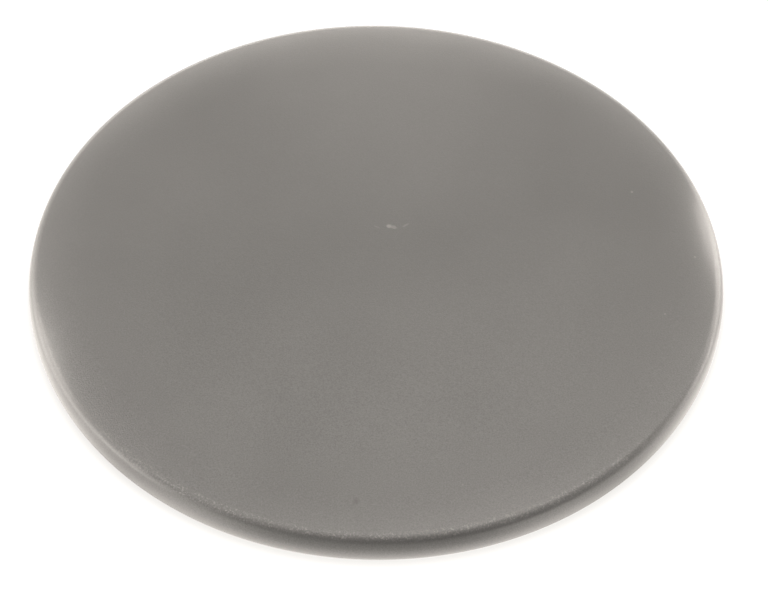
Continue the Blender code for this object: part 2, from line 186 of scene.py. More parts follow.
# ------------------------------------------------------------------ materials
def lid_material():
    """Dark satin composite with a fine moulded grain on top."""
    t = Tree("lid_grained_composite")
    x, y, z = t.xyz()
    top = t.ramp(z, 0.0240, 0.0300)
    mottle = t.noise(9.0, 4.0, 0.55)
    cloud = t.noise(2.6, 2.0, 0.5)
    grain = t.noise(760.0, 2.0, 0.65)
    speck = t.noise(1400.0, 1.0, 0.5)
    worn = t.ramp(t.math("MULTIPLY_ADD", cloud, 0.10, y), -0.17, 0.12, 1.0, 0.30)
    shade = t.math("MULTIPLY_ADD", mottle, 0.10, 0.95)
    shade = t.math("MULTIPLY", shade, t.math("MULTIPLY_ADD", cloud, 0.08, 0.96))
    shade = t.math("MULTIPLY", shade, t.math("MULTIPLY_ADD", t.math("MULTIPLY", t.math("SUBTRACT", grain, 0.5), worn), 0.60, 1.0))
    base = t.mix(t.ramp(shade, 0.74, 1.26), rgb(0.0600, 0.0598, 0.0594), rgb(0.1200, 0.1194, 0.1186))

    def spot(cx, cy, cz, ang, a, b, gain, edge):
        """Ragged oval mark on the surface."""
        m = t.node("ShaderNodeMapping", vector_type="TEXTURE")
        t.put(m.inputs["Vector"], t.coord)
        m.inputs["Location"].default_value = (cx * MM, cy * MM, cz * MM)
        m.inputs["Rotation"].default_value = (0, 0, radians(ang))
        m.inputs["Scale"].default_value = (a * MM, b * MM, 0.004)
        d = t.vmath("LENGTH", m.outputs[0])
        d = t.math("ADD", d, t.math("MULTIPLY_ADD", wobble, 0.9, -0.45))
        return t.ramp(d, 1.0, edge, 0.0, gain)

    # pale fleck near the middle, and a fainter stroke on each side: the strokes are a painted highlight, for light
    # caught on the sides of a shallow round dimple about the fleck
    wobble = t.noise(210.0, 3.0, 0.6)
    flecks_and_highlights = None
    for cx, cy, ang, a, b, gain in ((11.2, 41.2, -12, 3.4, 3.0, 1.0), (14.9, 40.2, -26, 4.6, 2.5, 0.62),
                                    (-0.2, 39.8, -26, 4.2, 1.4, 0.26), (27.1, 42.9, 38, 4.6, 1.4, 0.42)):
        one = spot(cx, cy, LID_TOP_Z - 0.1, ang, a, b, gain, 0.45)
        flecks_and_highlights = one if flecks_and_highlights is None else t.math("MAXIMUM", flecks_and_highlights, one)
    # a few bits of pale grit
    for cx, cy, cz, a, gain in ((242.3, 90.9, 35.7, 1.4, 0.7), (298.1, 10.6, 33.8, 1.3, 0.7), (266.3, -61.9, 35.4, 1.3, 0.6),
                                (79.0, -263.0, 35.5, 1.3, 0.45)):
        flecks_and_highlights = t.math("MAXIMUM", flecks_and_highlights, spot(cx, cy, cz, 20, a, a * 1.25, gain, 0.3))
    base = t.mix(flecks_and_highlights, base, rgb(0.168, 0.165, 0.161))
    # small dark speck near the front edge, painted darker
    dark_speck = spot(-14.2, -282.6, 35.0, -10, 4.4, 5.2, 1.0, 0.2)
    base = t.mix(t.math("MULTIPLY", dark_speck, 0.55), base, rgb(0.052, 0.050, 0.049))
    # painted highlight: the corner crest painted paler in sparkly flecks, strongest on the front half
    r = t.math("SQRT", t.math("ADD", t.math("MULTIPLY", x, x), t.math("MULTIPLY", y, y)))
    corner = t.math("MULTIPLY", t.ramp(r, 0.3125, 0.3155), t.ramp(z, 0.0275, 0.0295))
    painted_crest_highlight = t.math("MULTIPLY", t.ramp(t.noise(60.0, 4.0, 0.6), 0.36, 0.66, 0.35, 1.0), t.ramp(t.noise(520.0, 2.0, 0.7), 0.48, 0.70))
    painted_crest_highlight = t.math("MULTIPLY", t.math("MULTIPLY", painted_crest_highlight, corner), t.ramp(y, -0.17, -0.27, 0.15, 1.0))
    base = t.mix(painted_crest_highlight, base, rgb(0.190, 0.188, 0.185))
    height = t.math("ADD", t.math("MULTIPLY", grain, 0.7), t.math("MULTIPLY", speck, 0.3))
    strength = t.math("MULTIPLY_ADD", t.math("MULTIPLY", top, worn), 0.55, 0.05)
    normal = t.bump(height, strength, 0.0006)
    rough = t.math("MULTIPLY_ADD", mottle, 0.05, 0.315)
    rough = t.math("MULTIPLY_ADD", grain, 0.05, rough)
    rough = t.math("MULTIPLY_ADD", flecks_and_highlights, 0.10, rough)
    return t.finish(base, rough, normal)


def moulded(name, dark, light, rough, grain=380.0, bump=0.10, spec=0.5, dust=0.0):
    """Plain moulded plastic: faint flow clouds, fine grain and some dust on it."""
    t = Tree(name)
    cloud = t.noise(14.0, 4.0, 0.55, distort=0.6)
    fine = t.noise(grain, 3.0, 0.6)
    base = t.mix(t.ramp(t.math("MULTIPLY_ADD", fine, 0.35, cloud), 0.45, 0.95), dark, light)
    if dust:
        patch = t.math("MULTIPLY", t.ramp(t.noise(34.0, 5.0, 0.65), 0.50, 0.74), t.ramp(t.noise(900.0, 2.0), 0.42, 0.62))
        base = t.mix(t.math("MULTIPLY", patch, dust), base, rgb(0.30, 0.285, 0.26))
    r = t.math("MULTIPLY_ADD", cloud, 0.12, rough - 0.06)
    r = t.math("MULTIPLY_ADD", fine, 0.08, r)
    return t.finish(base, r, t.bump(fine, bump, 0.0005), spec=spec)


def underside():
    """Smooth moulded underside: flow clouds, and a round ejector mark in the middle of each bay."""
    t = Tree("lid_underside_composite")
    x, y, z = t.xyz()
    cloud = t.noise(11.0, 4.0, 0.55, distort=0.8)
    fine = t.noise(420.0, 3.0, 0.6)
    base = t.mix(t.ramp(t.math("MULTIPLY_ADD", fine, 0.30, cloud), 0.42, 0.92), rgb(0.066, 0.065, 0.063), rgb(0.098, 0.096, 0.092))
    pitch = RIB_PITCH * MM
    u = t.math("SUBTRACT", t.math("PINGPONG", t.math("ADD", x, pitch / 2), pitch), pitch / 2)
    v = t.math("SUBTRACT", t.math("PINGPONG", t.math("ADD", y, pitch / 2), pitch), pitch / 2)
    d = t.math("SQRT", t.math("ADD", t.math("MULTIPLY", u, u), t.math("MULTIPLY", v, v)))
    disc = t.ramp(d, 0.0058, 0.0054)
    edge = t.math("MULTIPLY", t.ramp(d, 0.0050, 0.0056), t.ramp(d, 0.0062, 0.0056))
    flat = t.ramp(z, 0.0278, 0.0283)
    disc, edge = t.math("MULTIPLY", disc, flat), t.math("MULTIPLY", edge, flat)
    base = t.mix(t.math("MULTIPLY", edge, 0.6), base, rgb(0.030, 0.030, 0.029))
    height = t.math("ADD", t.math("MULTIPLY", disc, -1.0), t.math("MULTIPLY", fine, 0.12))
    rough = t.math("MULTIPLY_ADD", cloud, 0.14, 0.40)
    rough = t.math("MULTIPLY_ADD", disc, -0.08, rough)
    return t.finish(base, rough, t.bump(height, 0.5, 0.0004))


def frame_material():
    """Fibre-filled moulding: pale short fibres under a dark skin, dust in patches."""
    t = Tree("frame_fibre_composite")
    cloud = t.noise(12.0, 4.0, 0.55, distort=1.0)
    fine = t.noise(500.0, 3.0, 0.6)
    along = t.noise(1.0, 2.0, 0.6, vec=t.scaled(900.0, 90.0, 300.0), distort=0.4)
    across = t.noise(1.0, 2.0, 0.6, vec=t.scaled(90.0, 900.0, 300.0), distort=0.4)
    fibre = t.math("MAXIMUM", t.ramp(along, 0.60, 0.72), t.ramp(across, 0.60, 0.72))
    base = t.mix(t.ramp(t.math("MULTIPLY_ADD", fine, 0.3, cloud), 0.42, 0.95), rgb(0.036, 0.0355, 0.035), rgb(0.062, 0.061, 0.059))
    base = t.mix(t.math("MULTIPLY", fibre, 0.30), base, rgb(0.125, 0.122, 0.116))
    dust = t.math("MULTIPLY", t.ramp(t.noise(26.0, 5.0, 0.65), 0.52, 0.76), t.ramp(t.noise(900.0, 2.0), 0.40, 0.62))
    base = t.mix(t.math("MULTIPLY", dust, 0.30), base, rgb(0.24, 0.228, 0.21))
    rough = t.math("MULTIPLY_ADD", cloud, 0.16, 0.44)
    rough = t.math("MULTIPLY_ADD", dust, 0.15, rough)
    height = t.math("ADD", t.math("MULTIPLY", fine, 0.6), t.math("MULTIPLY", fibre, 0.4))
    return t.finish(base, rough, t.bump(height, 0.14, 0.0005))


def rubber():
    """Soft black rubber with a pale bloom and mould grain."""
    t = Tree("seal_rubber")
    cloud = t.noise(30.0, 5.0, 0.6)
    fine = t.noise(700.0, 3.0, 0.6)
    base = t.mix(t.ramp(cloud, 0.40, 0.72), rgb(0.012, 0.012, 0.012), rgb(0.026, 0.026, 0.025))
    bloom = t.math("MULTIPLY", t.ramp(t.noise(60.0, 4.0, 0.7), 0.50, 0.72), t.ramp(fine, 0.42, 0.62))
    base = t.mix(t.math("MULTIPLY", bloom, 0.25), base, rgb(0.11, 0.108, 0.104))
    rough = t.math("MULTIPLY_ADD", cloud, 0.18, 0.58)
    return t.finish(base, rough, t.bump(fine, 0.16, 0.0005), spec=0.4)


def acetal():
    """Off-white slippery plastic, rubbed grey at the tip."""
    t = Tree("catch_bolt_acetal")
    x, y, z = t.xyz()
    cloud = t.noise(40.0, 3.0, 0.5)
    streak = t.noise(1.0, 3.0, 0.6, vec=t.scaled(60.0, 900.0, 900.0))
    base = t.mix(cloud, rgb(0.56, 0.545, 0.50), rgb(0.68, 0.665, 0.615))
    worn = t.math("MULTIPLY", t.ramp(x, 0.2965, 0.3075), t.ramp(streak, 0.42, 0.66))
    base = t.mix(t.math("MULTIPLY", worn, 0.45), base, rgb(0.27, 0.26, 0.24))
    rough = t.math("MULTIPLY_ADD", streak, 0.16, 0.28)
    return t.finish(base, rough, t.bump(streak, 0.06, 0.0003))


def brushed(name, light, dark, rough, along=(30.0, 2200.0, 2200.0)):
    """Rolled steel with a straight brushed grain and a few scratches."""
    t = Tree(name)
    brush = t.noise(1.0, 4.0, 0.65, vec=t.scaled(*along))
    smear = t.noise(45.0, 4.0, 0.6)
    scratch = t.ramp(t.noise(1.0, 2.0, 0.5, vec=t.vmath("ADD", t.scaled(70.0, 420.0, 420.0), (3.1, 7.7, 1.3)), distort=1.2), 0.66, 0.71)
    base = t.mix(t.ramp(brush, 0.3, 0.7), dark, light)
    base = t.mix(t.math("MULTIPLY", t.ramp(smear, 0.50, 0.76), 0.45), base, rgb(0.12, 0.115, 0.107))
    r = t.math("MULTIPLY_ADD", brush, 0.16, rough - 0.08)
    r = t.math("MULTIPLY_ADD", smear, 0.14, r)
    height = t.math("ADD", t.math("MULTIPLY", brush, 0.5), t.math("MULTIPLY", scratch, -0.5))
    return t.finish(base, r, t.bump(height, 0.16, 0.0003), metal=1.0)


def turned_steel():
    """Stainless screw: turning rings on the head, a little dirt in patches."""
    t = Tree("screw_turned_steel")
    x, y, z = t.xyz()
    r = t.math("SQRT", t.math("ADD", t.math("MULTIPLY", x, x), t.math("MULTIPLY", y, y)))
    ring = t.math("SINE", t.math("MULTIPLY", r, 15000.0))
    fine = t.noise(900.0, 3.0, 0.6)
    base = t.mix(t.ramp(t.math("MULTIPLY_ADD", ring, 0.10, fine), 0.3, 0.75), rgb(0.33, 0.325, 0.315), rgb(0.47, 0.46, 0.445))
    dirt = t.ramp(t.noise(260.0, 4.0, 0.65), 0.55, 0.72)
    base = t.mix(t.math("MULTIPLY", dirt, 0.5), base, rgb(0.20, 0.19, 0.175))
    rough = t.math("MULTIPLY_ADD", fine, 0.14, 0.24)
    rough = t.math("MULTIPLY_ADD", dirt, 0.25, rough)
    return t.finish(base, rough, t.bump(t.math("MULTIPLY_ADD", ring, 0.3, fine), 0.08, 0.0003), metal=1.0)


LID = lid_material()
UNDER = underside()
FRAME = frame_material()
SEAL = rubber()
NYLON = moulded("catch_body_nylon", rgb(0.017, 0.017, 0.018), rgb(0.030, 0.030, 0.031), 0.44, grain=650.0, bump=0.16, dust=0.16)
ACETAL = acetal()
PLATE = brushed("plate_brushed_steel", rgb(0.285, 0.279, 0.270), rgb(0.155, 0.152, 0.148), 0.34)
WIRE = brushed("spring_drawn_wire", rgb(0.58, 0.58, 0.57), rgb(0.42, 0.42, 0.415), 0.28, along=(700.0, 700.0, 700.0))
STEEL = turned_steel()


# ---------------------------------------------------------------- mesh helpers
def new_object(name, bm, mats, body, smooth_deg=30, matrix=None, weighted=False):
    me = bpy.data.meshes.new(name)
    bmesh.ops.recalc_face_normals(bm, faces=bm.faces)
    bm.to_mesh(me)
    bm.free()
    for m in mats:
        me.materials.append(m)
    me.shade_smooth()
    me.set_sharp_from_angle(angle=radians(smooth_deg))
    return place(name, me, body, matrix, weighted)


def place(name, me, body, matrix=None, weighted=False):
    ob = bpy.data.objects.new(name, me)
    scene.collection.objects.link(ob)
    if matrix is not None:
        ob.matrix_world = matrix
    if weighted:
        w = ob.modifiers.new("face_normals", "WEIGHTED_NORMAL")
        w.weight = 100
        w.keep_sharp = True
    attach(ob, body)
    return ob


def lathe(bm, rings, steps, closed=False, mats=None, matrix=None):
    """Sweep (r, z) or (r, z, hex) rings in mm about Z; a ring at r = 0 is one vertex."""
    loops = []
    for ring in rings:
        r, z = ring[0], ring[1]
        six = ring[2] if len(ring) > 2 else 0
        if r < 1e-9:
            loops.append([bm.verts.new((0, 0, z * MM))])
            continue
        loop = []
        for k in range(steps):
            a = 2 * pi * k / steps
            q = r / cos((a + pi / 6) % (pi / 3) - pi / 6) if six else r
            loop.append(bm.verts.new((q * MM * cos(a), q * MM * sin(a), z * MM)))
        loops.append(loop)
    n = len(loops)
    for i in range(n if closed else n - 1):
        a, b = loops[i], loops[(i + 1) % n]
        for k in range(steps):
            j = (k + 1) % steps
            if len(a) == 1:
                f = bm.faces.new((a[0], b[k], b[j]))
            elif len(b) == 1:
                f = bm.faces.new((a[k], b[0], a[j]))
            else:
                f = bm.faces.new((a[k], b[k], b[j], a[j]))
            if mats:
                f.material_index = mats[i]
    if matrix is not None:
        bmesh.ops.transform(bm, matrix=matrix, verts=[v for loop in loops for v in loop])


def rounded(poly, radius, n=6):
    """Round the corners of an outline; radius is one number, or one for each point."""
    out = []
    m = len(poly)
    for i, p in enumerate(poly):
        r = radius[i] if isinstance(radius, (list, tuple)) else radius
        p = Vector(p)
        u, v = Vector(poly[i - 1]) - p, Vector(poly[(i + 1) % m]) - p
        lu, lv = u.length, v.length
        ang = u.angle(v)
        if r <= 0 or ang > radians(160):
            out.append(tuple(p))
            continue
        u.normalize()
        v.normalize()
        tl = min(r / tan(ang / 2), 0.46 * lu, 0.46 * lv)
        rr = tl * tan(ang / 2)
        c = p + (u + v).normalized() * (rr / sin(ang / 2))
        s, e = p + u * tl - c, p + v * tl - c
        sweep = s.angle_signed(e)
        for k in range(n + 1):
            a = -sweep * k / n
            out.append((c.x + s.x * cos(a) - s.y * sin(a), c.y + s.x * sin(a) + s.y * cos(a)))
    return out


def rect(x0, y0, x1, y1):
    return [(x0, y0), (x1, y0), (x1, y1), (x0, y1)]


def circle(cx, cy, r, n=28):
    return [(cx + r * cos(2 * pi * k / n), cy + r * sin(2 * pi * k / n)) for k in range(n)]


def slab(bm, loops, z0, z1, bevel=0.5, segs=2, matrix=None):
    """Outline with holes, raised from z0 to z1, with its edges rounded; added to bm."""
    cu = bpy.data.curves.new("outline", "CURVE")
    cu.dimensions = "2D"
    cu.fill_mode = "BOTH"
    cu.extrude = ((z1 - z0) / 2 - bevel) * MM
    cu.bevel_depth = bevel * MM
    cu.bevel_resolution = segs
    cu.offset = -bevel * MM
    for loop in loops:
        sp = cu.splines.new("POLY")
        sp.points.add(len(loop) - 1)
        for p, (x, y) in zip(sp.points, loop):
            p.co = (x * MM, y * MM, 0.0, 1.0)
        sp.use_cyclic_u = True
    ob = bpy.data.objects.new("outline", cu)
    scene.collection.objects.link(ob)
    bpy.context.view_layer.update()
    me = bpy.data.meshes.new_from_object(ob.evaluated_get(bpy.context.evaluated_depsgraph_get()))
    bpy.data.objects.remove(ob, do_unlink=True)
    bpy.data.curves.remove(cu)
    me.materials.clear()
    me.transform(Matrix.Translation((0, 0, (z0 + z1) / 2 * MM)))
    if matrix is not None:
        me.transform(matrix)
    one = bmesh.new()
    one.from_mesh(me)
    bmesh.ops.remove_doubles(one, verts=one.verts, dist=0.000004)
    for f in one.faces:
        f.material_index = 0
    one.to_mesh(me)
    one.free()
    bm.from_mesh(me)
    bpy.data.meshes.remove(me)


def tube(bm, path, radius, segs=10):
    """Round wire along a path of points in mm, with rounded ends."""
    pts = [Vector(p) for p in path]
    n = len(pts)
    side = None
    rings = []
    for i, p in enumerate(pts):
        d = (pts[min(i + 1, n - 1)] - pts[max(i - 1, 0)]).normalized()
        side = d.orthogonal().normalized() if side is None else (side - d * side.dot(d)).normalized()
        other = d.cross(side)
        rings.append([bm.verts.new((p + (side * cos(2 * pi * k / segs) + other * sin(2 * pi * k / segs)) * radius) * MM)
                      for k in range(segs)])
    for a, b in zip(rings, rings[1:]):
        for k in range(segs):
            j = (k + 1) % segs
            bm.faces.new((a[k], a[j], b[j], b[k]))
    bm.faces.new(list(reversed(rings[0])))
    bm.faces.new(rings[-1])


# ------------------------------------------------------------------------ lid
def arc(pts, radius, tilt0, tilt1, n):
    """Carry a profile on by an arc, from one slope to another."""
    r, z = pts[-1]
    a0 = radians(tilt0)
    for k in range(1, n + 1):
        a = radians(tilt0 + (tilt1 - tilt0) * k / n)
        pts.append((r + radius * (sin(a) - sin(a0)), z - radius * (cos(a0) - cos(a))))


def lid_points():
    z_roll = LID_TOP_Z - LID_CROWN
    c = [cos(radians(t)) for t in (ROLL_TILT, CORNER_TILT, WALL_TILT)]
    s = [sin(radians(t)) for t in (ROLL_TILT, CORNER_TILT, WALL_TILT)]
    wall_r = (z_roll - ROLL_DROP - CORNER_R * (c[0] - c[1]) - FOOT_R * (c[2] + 1)) / (c[1] - c[2])
    roll_end = LID_R - CORNER_R * (s[1] - s[0]) - wall_r * (1 - s[1])
    pts = [(r, LID_TOP_Z - LID_CROWN * (r / ROLL_START_R) ** 2) for r in (0, 15, 40, 80, 120, 160, 200, 230)]
    n = 28
    for k in range(n + 1):
        t = k / n
        pts.append((ROLL_START_R + (roll_end - ROLL_START_R) * t, z_roll - ROLL_DROP * t ** 2.6))
    arc(pts, CORNER_R, ROLL_TILT, CORNER_TILT, 14)
    arc(pts, wall_r, CORNER_TILT, WALL_TILT, 16)
    arc(pts, FOOT_R, WALL_TILT, 180.0, 10)
    pts[-1] = (pts[-1][0], 0.0)
    outer = len(pts)
    pts.append((FOOT_IN_R + 1.2, 0.0))
    for k in range(1, 6):
        a = radians(90 * k / 5)
        pts.append((FOOT_IN_R + 1.2 - 1.2 * sin(a), 1.2 - 1.2 * cos(a)))
    head_in = FOOT_IN_R - 0.8
    for k in range(1, 6):
        pts.append((FOOT_IN_R - 0.8 * k / 5, 1.2 + (SKIN_UNDER_Z - INNER_ROUND - 1.2) * k / 5))
    for k in range(1, 7):
        a = radians(90 * k / 6)
        pts.append((head_in - INNER_ROUND + INNER_ROUND * cos(a), SKIN_UNDER_Z - INNER_ROUND + INNER_ROUND * sin(a)))
    pts += [(r, SKIN_UNDER_Z) for r in (300, 270, 220, 160, 100, 50, 15, 0)]
    return pts, outer


bm = bmesh.new()
pts, outer = lid_points()
lathe(bm, pts, 288, mats=[0 if i < outer else 1 for i in range(len(pts))])
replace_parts(new_object("lid_moulding", bm, [LID, UNDER], "lid", 40), "cover_lid")


# ------------------------------------------------------------------ rib frame
def clip_to_circle(poly, r, n=180):
    for k in range(n):
        a = 2 * pi * (k + 0.5) / n
        nx, ny, d = cos(a), sin(a), r * cos(pi / n)
        out = []
        for i, p in enumerate(poly):
            q = poly[(i + 1) % len(poly)]
            sp, sq = p[0] * nx + p[1] * ny - d, q[0] * nx + q[1] * ny - d
            if sp <= 0:
                out.append(p)
            if sp * sq < 0:
                w = sp / (sp - sq)
                out.append((p[0] + (q[0] - p[0]) * w, p[1] + (q[1] - p[1]) * w))
        poly = out
        if len(poly) < 3:
            return []
    return poly


def area(poly):
    return 0.5 * sum(p[0] * q[1] - q[0] * p[1] for p, q in zip(poly, poly[1:] + poly[:1]))


def tidy(poly, step):
    out = []
    for p in poly:
        if not out or (Vector(p) - Vector(out[-1])).length > step:
            out.append(p)
    if (Vector(out[0]) - Vector(out[-1])).length <= step:
        out.pop()
    return out


def rib_loops():
    outline, corner = [], []
    half = asin(NOTCH_HALF / RIB_R)
    lip = sqrt(RIB_R ** 2 - NOTCH_HALF ** 2)
    for q in range(4):
        c, s = cos(q * pi / 2), sin(q * pi / 2)
        for (x, y), r in zip([(lip, -NOTCH_HALF), (NOTCH_FLOOR_R, -NOTCH_HALF), (NOTCH_FLOOR_R, NOTCH_HALF), (lip, NOTCH_HALF)],
                             (1.5, 5.0, 5.0, 1.5)):
            outline.append((x * c - y * s, x * s + y * c))
            corner.append(r)
        for k in range(1, 48):
            a = half + (pi / 2 - 2 * half) * k / 48 + q * pi / 2
            outline.append((RIB_R * cos(a), RIB_R * sin(a)))
            corner.append(0)
    loops = [rounded(outline, corner)]
    h = (RIB_PITCH - RIB_T) / 2
    for i in range(-4, 5):
        for j in range(-4, 5):
            if (abs(i), abs(j)) in ((4, 0), (0, 4)):
                continue
            x, y = i * RIB_PITCH, j * RIB_PITCH
            bay = clip_to_circle([(x - h, y - h), (x + h, y - h), (x + h, y + h), (x - h, y + h)], RIB_RING_R)
            bay = tidy(bay, 2.0) if bay else []
            if len(bay) < 3 or area(bay) < 500:
                continue
            loops.append(rounded(bay, 9.0, 7))
    for x, y in FRAME_SCREWS:
        loops.append(circle(x, y, 3.3, 20))
    return loops


bm = bmesh.new()
slab(bm, rib_loops(), RIB_FOOT_Z, RIB_HEAD_Z, 0.9, 2)
for x, y in FRAME_SCREWS:
    # collar round each screw head
    lathe(bm, [(7.5, 18.2), (7.5, 15.7), (7.8, 15.3), (8.3, 15.1), (9.4, 15.1), (9.9, 15.3), (10.2, 15.7), (10.6, 18.2)], 40,
          closed=True, matrix=Matrix.Translation((x * MM, y * MM, 0)))
for i in (-231, -165, -99, -33, 33, 99, 165, 231):
    for j in (-231, -165, -99, -33, 33, 99, 165, 231):
        if (i, j) in FRAME_SCREWS or i * i + j * j > 272 ** 2:
            continue
        # ejector pad on each plain crossing
        lathe(bm, [(0, 17.10), (3.2, 17.10), (3.45, 17.0), (4.1, 17.0), (4.4, 17.15), (4.5, 17.8), (0, 17.8)], 24,
              matrix=Matrix.Translation((i * MM, j * MM, 0)))
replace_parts(new_object("underframe_ribs", bm, [FRAME], "lid", 35, weighted=True), "rib_frame")

# ------------------------------------------------------------------- rim seal
bm = bmesh.new()
lathe(bm, [(301.0, 28.2), (309.2, 28.2), (309.75, 27.9), (310.0, 27.3), (310.0, 24.6), (309.8, 23.2), (309.4, 21.6), (308.9, 20.6),
           (308.4, 20.2), (307.9, 20.5), (307.6, 21.4), (307.3, 22.7), (306.9, 23.3), (306.5, 23.3), (306.15, 22.7), (305.85, 21.4),
           (305.6, 20.5), (305.2, 20.2), (304.8, 20.5), (304.55, 21.4), (304.25, 22.7), (303.9, 23.3), (303.5, 23.3), (303.1, 22.7),
           (302.8, 21.4), (302.5, 20.5), (302.0, 20.2), (301.5, 20.6), (301.0, 21.6), (300.6, 23.2), (300.4, 24.6), (300.4, 27.4),
           (300.6, 27.95)], 240, closed=True)
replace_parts(new_object("seal_strip", bm, [SEAL], "lid", 50), "rim_seal")


# --------------------------------------------------------------------- screws
def screw_mesh(name, tip, shank, seat, head_r, head_h):
    """Pan head screw pointing up, with a six-sided drive socket in its head."""
    low = seat - head_h
    sock = head_r * 0.40
    rings = [(0, tip), (shank * 0.45, tip), (shank * 0.8, tip - shank * 0.35), (shank, tip - shank * 0.9), (shank, seat),
             (head_r - 0.30, seat), (head_r - 0.08, seat - 0.08), (head_r, seat - 0.30), (head_r, seat - head_h * 0.45)]
    for k in range(1, 6):
        a = radians(90 * k / 5)
        rings.append((head_r - head_r * 0.34 * (1 - cos(a)), seat - head_h * 0.45 - head_h * 0.55 * sin(a)))
    rings += [(sock * 1.22, low), (sock * 1.03, low + 0.02, 1), (sock, low + 0.10, 1), (sock, low + head_h * 0.62, 1),
              (sock * 0.86, low + head_h * 0.66, 1), (0, low + head_h * 0.74)]
    bm = bmesh.new()
    lathe(bm, rings, 36)
    me = bpy.data.meshes.new(name)
    bmesh.ops.recalc_face_normals(bm, faces=bm.faces)
    bm.to_mesh(me)
    bm.free()
    me.materials.append(STEEL)
    me.shade_smooth()
    me.set_sharp_from_angle(angle=radians(32))
    return me


frame_screw = screw_mesh("frame_screw_form", 32.8, 2.9, 17.2, 6.5, 3.4)
for k, (x, y) in enumerate(FRAME_SCREWS):
    turn = Matrix.Translation((x * MM, y * MM, 0)) @ Matrix.Rotation(radians(37 * k), 4, "Z")
    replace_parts(place("frame_fixing_%02d" % (k + 1), frame_screw, "lid", turn), "frame_screw_%02d" % (k + 1))
ear_screw = screw_mesh("ear_screw_form", 32.8, 2.4, 21.9, 4.6, 3.0)
plate_screw = screw_mesh("plate_screw_form", 11.0, 1.2, 2.4, 2.5, 1.3)


# -------------------------------------------------------------------- catches
UPRIGHT = Matrix.Rotation(pi / 2, 4, "X")                                    # outline y becomes up
SIDEWAYS = Matrix(((0, 0, 1, 0), (1, 0, 0, 0), (0, 1, 0, 0), (0, 0, 0, 1)))   # outline x, y become y, z


def housing_mesh():
    bm = bmesh.new()
    slab(bm, [rounded([(BODY_OUT, -BODY_HALF), (BODY_OUT, -8.3), (290, -8.3), (290, -10.3), (242, -10.3), (242, 10.3), (290, 10.3),
                       (290, 8.3), (BODY_OUT, 8.3), (BODY_OUT, BODY_HALF), (BODY_IN, BODY_HALF), (BODY_IN, -BODY_HALF)],
                      [3.0, 0.9, 0.5, 0.5, 1.0, 1.0, 0.5, 0.5, 0.9, 3.0, 4.0, 4.0])], BODY_FOOT_Z, 14.2, 0.45, 2)
    slab(bm, [rounded(rect(BODY_IN, -BODY_HALF, BODY_OUT, BODY_HALF), [4.0, 3.0, 3.0, 4.0])], 14.0, RIB_HEAD_Z, 0.45, 2)
    sx, sy = EAR_SCREW
    slab(bm, [rounded(rect(EAR_IN, -EAR_HALF, EAR_OUT, EAR_HALF), 5.0), circle(sx, sy, 2.8), circle(sx, -sy, 2.8)],
         EAR_FOOT_Z, RIB_HEAD_Z, 0.7, 2)
    for x in (253.8, 280.2):
        for s in (1, -1):
            # gusset between ear and housing
            tri = [(s * 15.5, 9.5), (s * 17.6, 9.5), (s * 28.4, 20.4), (s * 28.4, 22.9), (s * 15.5, 22.9)]
            slab(bm, [rounded(tri, 0.8, 3)], x - 1.4, x + 1.4, 0.4, 1, SIDEWAYS)
    for x in (240.6, 246.2, 287.0, 292.4):
        for s in (1, -1):
            # stiffening rib down the side
            slab(bm, [rounded(rect(x - 0.9, min(s * 15.4, s * 17.1), x + 0.9, max(s * 15.4, s * 17.1)), 0.5, 3)], 5.4, 27.6, 0.3, 1)
    return bm


def bolt_mesh():
    bm = bmesh.new()
    slab(bm, [rounded(rect(262.0, 4.75, 289.6, 13.6), 0.8, 4)], -9.9, 9.9, 0.6, 2, UPRIGHT)
    nose = [(285.6, 4.75), (303.4, 4.75), (308.0, 9.35), (308.0, 10.8), (305.2, 13.6), (285.6, 13.6)]
    slab(bm, [rounded(nose, [0, 1.6, 1.0, 1.0, 1.2, 0], 5)], -7.9, 7.9, 0.6, 2, UPRIGHT)
    along = Matrix.Translation((0, 0, BOLT_AXIS_Z * MM)) @ Matrix(((0, 0, 1, 0), (1, 0, 0, 0), (0, 1, 0, 0), (0, 0, 0, 1)))
    lathe(bm, [(0, 253.0), (1.5, 253.0), (2.0, 253.25), (2.3, 253.9), (2.3, 261.2), (2.7, 262.4), (0, 262.6)], 24, matrix=along)
    return bm


def spring_mesh():
    """Six turns, the first and last wound close."""
    path = []
    turns, per = 6.0, 30
    n = int(turns * per)
    lead = [0.0]
    for k in range(n):
        u = k / per
        lead.append(lead[-1] + (0.34 if u < 0.9 or u > turns - 0.9 else 1.0))
    for k in range(n + 1):
        a = 2 * pi * k / per
        x = SPRING_IN + (SPRING_OUT - SPRING_IN) * lead[k] / lead[-1]
        path.append((x, SPRING_R * cos(a), BOLT_AXIS_Z + SPRING_R * sin(a)))
    bm = bmesh.new()
    tube(bm, path, SPRING_WIRE, 10)
    return bm


def plate_mesh():
    bm = bmesh.new()
    px, py = PLATE_SCREW
    slab(bm, [rounded(rect(PLATE_IN, -PLATE_HALF, PLATE_OUT, PLATE_HALF), 4.0), circle(px, py, 1.5, 20), circle(px, -py, 1.5, 20)],
         PLATE_FOOT_Z, PLATE_HEAD_Z, 0.3, 2)
    # pressed stiffening bead
    slab(bm, [rounded(rect(245.5, -3.4, 287.5, 3.4), 3.38, 8)], 1.75, 3.2, 0.7, 3)
    return bm


